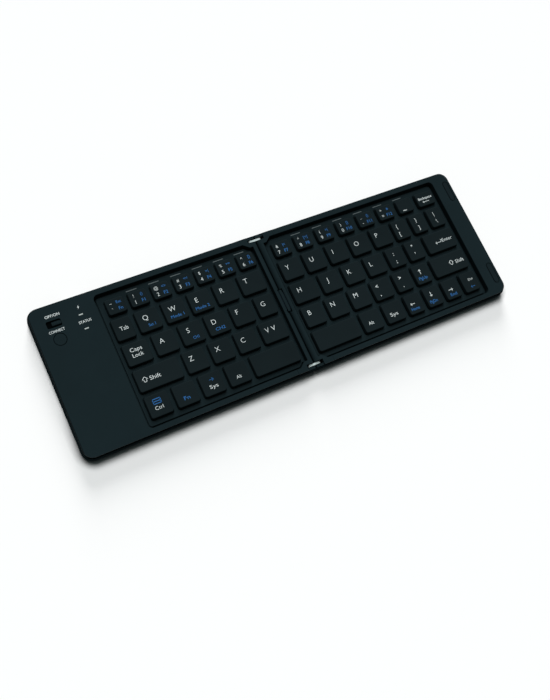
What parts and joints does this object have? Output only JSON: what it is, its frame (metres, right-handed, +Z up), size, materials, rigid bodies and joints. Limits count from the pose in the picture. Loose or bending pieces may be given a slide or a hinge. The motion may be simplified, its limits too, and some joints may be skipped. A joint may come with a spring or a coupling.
{
  "type": "folding keyboard",
  "caption": "Thin folding keyboard in two halves on double-axis hinge links, with sprung keys, a slide switch and a push button in its wide left end.",
  "frame": {"origin": "middle of the seam, on the surface the open keyboard stands on", "axes": "+X along the keyboard towards the right half, +Y away from the typist, +Z up"},
  "size_m": [0.3046, 0.097, 0.008],
  "materials": {
    "lower_shell": "satin dark grey",
    "top_shell": "matte near-black",
    "deck": "matte near-black",
    "circuit": "green circuit board",
    "dome_rubber": "soft, dark grey",
    "scissor_plastic": "black",
    "foot_rubber": "matte",
    "screw_steel": "zinc plated",
    "bright_steel": "bright",
    "battery_foil": "foil pouch",
    "control_plastic": "matte black",
    "light_plastic": "milky light guide",
    "guard_rubber": "matte dark grey",
    "ribbon_film": "flexible film",
    "key_plastic": "fine matte black"
  },
  "bodies": {
    "left_half": {"left_base": "lower_shell", "left_bezel": "top_shell", "left_hinge_frame": "top_shell", "left_deck": "deck", "left_circuit": "circuit", "left_domes": "dome_rubber", "left_scissors": "scissor_plastic", "left_feet": "foot_rubber", "left_screws": "screw_steel", "main_board": "circuit", "battery": "battery_foil", "charging_socket": "bright_steel", "slide_switch": "bright_steel", "button_switch": "control_plastic", "status_lights": "light_plastic"},
    "hinge": {"hinge_links": "bright_steel", "hinge_pins": "screw_steel", "cable_guard": "guard_rubber", "ribbon_cable": "ribbon_film"},
    "right_half": {"right_base": "lower_shell", "right_bezel": "top_shell", "right_hinge_frame": "top_shell", "right_deck": "deck", "right_circuit": "circuit", "right_domes": "dome_rubber", "right_scissors": "scissor_plastic", "right_feet": "foot_rubber", "right_screws": "screw_steel", "right_pads": "foot_rubber"},
    "power_slider": {"power_slider": "control_plastic"},
    "connect_button": {"connect_button": "control_plastic"},
    "left_number_keys": {"left_number_keys": "key_plastic"},
    "tab_key": {"tab_key": "key_plastic"},
    "qwert_keys": {"qwert_keys": "key_plastic"},
    "caps_lock_key": {"caps_lock_key": "key_plastic"},
    "asdfg_keys": {"asdfg_keys": "key_plastic"},
    "left_shift_key": {"left_shift_key": "key_plastic"},
    "zxcv_keys": {"zxcv_keys": "key_plastic"},
    "ctrl_key": {"ctrl_key": "key_plastic"},
    "fn_key": {"fn_key": "key_plastic"},
    "left_system_key": {"left_system_key": "key_plastic"},
    "left_alt_key": {"left_alt_key": "key_plastic"},
    "left_space_key": {"left_space_key": "key_plastic"},
    "right_number_keys": {"right_number_keys": "key_plastic"},
    "backspace_key": {"backspace_key": "key_plastic"},
    "yuiop_keys": {"yuiop_keys": "key_plastic"},
    "bracket_keys": {"bracket_keys": "key_plastic"},
    "hjkl_keys": {"hjkl_keys": "key_plastic"},
    "punctuation_keys": {"punctuation_keys": "key_plastic"},
    "enter_key": {"enter_key": "key_plastic"},
    "bnm_keys": {"bnm_keys": "key_plastic"},
    "up_key": {"up_key": "key_plastic"},
    "right_shift_key": {"right_shift_key": "key_plastic"},
    "right_space_key": {"right_space_key": "key_plastic"},
    "right_alt_key": {"right_alt_key": "key_plastic"},
    "right_system_key": {"right_system_key": "key_plastic"},
    "left_arrow_key": {"left_arrow_key": "key_plastic"},
    "down_key": {"down_key": "key_plastic"},
    "right_arrow_key": {"right_arrow_key": "key_plastic"},
    "delete_key": {"delete_key": "key_plastic"}
  },
  "joints": [
    {"name": "left_fold", "type": "hinge", "parent": "left_half", "child": "hinge", "pos_m": [-0.003, 0, 0.00515], "axis": [0, -1, 0], "range_deg": [0, 90], "deforming": ["ribbon_cable"]},
    {"name": "right_fold", "type": "hinge", "parent": "hinge", "child": "right_half", "pos_m": [0.003, 0, 0.00515], "axis": [0, -1, 0], "range_deg": [0, 90], "deforming": ["ribbon_cable"]},
    {"name": "power_slide", "type": "slide", "parent": "left_half", "child": "power_slider", "axis": [1, 0, 0], "range_m": [-0.003, 0]},
    {"name": "connect_press", "type": "slide", "parent": "left_half", "child": "connect_button", "axis": [0, 0, -1], "range_m": [0, 0.0005], "stiffness_N_per_m": 400, "springref_m": -0.0002},
    {"name": "left_number_press", "type": "slide", "parent": "left_half", "child": "left_number_keys", "axis": [0, 0, -1], "range_m": [0, 0.0016], "stiffness_N_per_m": 250, "springref_m": -0.0006, "deforming": ["left_domes", "left_scissors"]},
    {"name": "tab_press", "type": "slide", "parent": "left_half", "child": "tab_key", "axis": [0, 0, -1], "range_m": [0, 0.0016], "stiffness_N_per_m": 250, "springref_m": -0.0006, "deforming": ["left_domes", "left_scissors"]},
    {"name": "qwert_press", "type": "slide", "parent": "left_half", "child": "qwert_keys", "axis": [0, 0, -1], "range_m": [0, 0.0016], "stiffness_N_per_m": 250, "springref_m": -0.0006, "deforming": ["left_domes", "left_scissors"]},
    {"name": "caps_lock_press", "type": "slide", "parent": "left_half", "child": "caps_lock_key", "axis": [0, 0, -1], "range_m": [0, 0.0016], "stiffness_N_per_m": 250, "springref_m": -0.0006, "deforming": ["left_domes", "left_scissors"]},
    {"name": "asdfg_press", "type": "slide", "parent": "left_half", "child": "asdfg_keys", "axis": [0, 0, -1], "range_m": [0, 0.0016], "stiffness_N_per_m": 250, "springref_m": -0.0006, "deforming": ["left_domes", "left_scissors"]},
    {"name": "left_shift_press", "type": "slide", "parent": "left_half", "child": "left_shift_key", "axis": [0, 0, -1], "range_m": [0, 0.0016], "stiffness_N_per_m": 250, "springref_m": -0.0006, "deforming": ["left_domes", "left_scissors"]},
    {"name": "zxcv_press", "type": "slide", "parent": "left_half", "child": "zxcv_keys", "axis": [0, 0, -1], "range_m": [0, 0.0016], "stiffness_N_per_m": 250, "springref_m": -0.0006, "deforming": ["left_domes", "left_scissors"]},
    {"name": "ctrl_press", "type": "slide", "parent": "left_half", "child": "ctrl_key", "axis": [0, 0, -1], "range_m": [0, 0.0016], "stiffness_N_per_m": 250, "springref_m": -0.0006, "deforming": ["left_domes", "left_scissors"]},
    {"name": "fn_press", "type": "slide", "parent": "left_half", "child": "fn_key", "axis": [0, 0, -1], "range_m": [0, 0.0016], "stiffness_N_per_m": 250, "springref_m": -0.0006, "deforming": ["left_domes", "left_scissors"]},
    {"name": "left_system_press", "type": "slide", "parent": "left_half", "child": "left_system_key", "axis": [0, 0, -1], "range_m": [0, 0.0016], "stiffness_N_per_m": 250, "springref_m": -0.0006, "deforming": ["left_domes", "left_scissors"]},
    {"name": "left_alt_press", "type": "slide", "parent": "left_half", "child": "left_alt_key", "axis": [0, 0, -1], "range_m": [0, 0.0016], "stiffness_N_per_m": 250, "springref_m": -0.0006, "deforming": ["left_domes", "left_scissors"]},
    {"name": "left_space_press", "type": "slide", "parent": "left_half", "child": "left_space_key", "axis": [0, 0, -1], "range_m": [0, 0.0016], "stiffness_N_per_m": 250, "springref_m": -0.0006, "deforming": ["left_domes", "left_scissors"]},
    {"name": "right_number_press", "type": "slide", "parent": "right_half", "child": "right_number_keys", "axis": [0, 0, -1], "range_m": [0, 0.0016], "stiffness_N_per_m": 250, "springref_m": -0.0006, "deforming": ["right_domes", "right_scissors"]},
    {"name": "backspace_press", "type": "slide", "parent": "right_half", "child": "backspace_key", "axis": [0, 0, -1], "range_m": [0, 0.0016], "stiffness_N_per_m": 250, "springref_m": -0.0006, "deforming": ["right_domes", "right_scissors"]},
    {"name": "yuiop_press", "type": "slide", "parent": "right_half", "child": "yuiop_keys", "axis": [0, 0, -1], "range_m": [0, 0.0016], "stiffness_N_per_m": 250, "springref_m": -0.0006, "deforming": ["right_domes", "right_scissors"]},
    {"name": "bracket_press", "type": "slide", "parent": "right_half", "child": "bracket_keys", "axis": [0, 0, -1], "range_m": [0, 0.0016], "stiffness_N_per_m": 250, "springref_m": -0.0006, "deforming": ["right_domes", "right_scissors"]},
    {"name": "hjkl_press", "type": "slide", "parent": "right_half", "child": "hjkl_keys", "axis": [0, 0, -1], "range_m": [0, 0.0016], "stiffness_N_per_m": 250, "springref_m": -0.0006, "deforming": ["right_domes", "right_scissors"]},
    {"name": "punctuation_press", "type": "slide", "parent": "right_half", "child": "punctuation_keys", "axis": [0, 0, -1], "range_m": [0, 0.0016], "stiffness_N_per_m": 250, "springref_m": -0.0006, "deforming": ["right_domes", "right_scissors"]},
    {"name": "enter_press", "type": "slide", "parent": "right_half", "child": "enter_key", "axis": [0, 0, -1], "range_m": [0, 0.0016], "stiffness_N_per_m": 250, "springref_m": -0.0006, "deforming": ["right_domes", "right_scissors"]},
    {"name": "bnm_press", "type": "slide", "parent": "right_half", "child": "bnm_keys", "axis": [0, 0, -1], "range_m": [0, 0.0016], "stiffness_N_per_m": 250, "springref_m": -0.0006, "deforming": ["right_domes", "right_scissors"]},
    {"name": "up_press", "type": "slide", "parent": "right_half", "child": "up_key", "axis": [0, 0, -1], "range_m": [0, 0.0016], "stiffness_N_per_m": 250, "springref_m": -0.0006, "deforming": ["right_domes", "right_scissors"]},
    {"name": "right_shift_press", "type": "slide", "parent": "right_half", "child": "right_shift_key", "axis": [0, 0, -1], "range_m": [0, 0.0016], "stiffness_N_per_m": 250, "springref_m": -0.0006, "deforming": ["right_domes", "right_scissors"]},
    {"name": "right_space_press", "type": "slide", "parent": "right_half", "child": "right_space_key", "axis": [0, 0, -1], "range_m": [0, 0.0016], "stiffness_N_per_m": 250, "springref_m": -0.0006, "deforming": ["right_domes", "right_scissors"]},
    {"name": "right_alt_press", "type": "slide", "parent": "right_half", "child": "right_alt_key", "axis": [0, 0, -1], "range_m": [0, 0.0016], "stiffness_N_per_m": 250, "springref_m": -0.0006, "deforming": ["right_domes", "right_scissors"]},
    {"name": "right_system_press", "type": "slide", "parent": "right_half", "child": "right_system_key", "axis": [0, 0, -1], "range_m": [0, 0.0016], "stiffness_N_per_m": 250, "springref_m": -0.0006, "deforming": ["right_domes", "right_scissors"]},
    {"name": "left_arrow_press", "type": "slide", "parent": "right_half", "child": "left_arrow_key", "axis": [0, 0, -1], "range_m": [0, 0.0016], "stiffness_N_per_m": 250, "springref_m": -0.0006, "deforming": ["right_domes", "right_scissors"]},
    {"name": "down_press", "type": "slide", "parent": "right_half", "child": "down_key", "axis": [0, 0, -1], "range_m": [0, 0.0016], "stiffness_N_per_m": 250, "springref_m": -0.0006, "deforming": ["right_domes", "right_scissors"]},
    {"name": "right_arrow_press", "type": "slide", "parent": "right_half", "child": "right_arrow_key", "axis": [0, 0, -1], "range_m": [0, 0.0016], "stiffness_N_per_m": 250, "springref_m": -0.0006, "deforming": ["right_domes", "right_scissors"]},
    {"name": "delete_press", "type": "slide", "parent": "right_half", "child": "delete_key", "axis": [0, 0, -1], "range_m": [0, 0.0016], "stiffness_N_per_m": 250, "springref_m": -0.0006, "deforming": ["right_domes", "right_scissors"]}
  ]
}
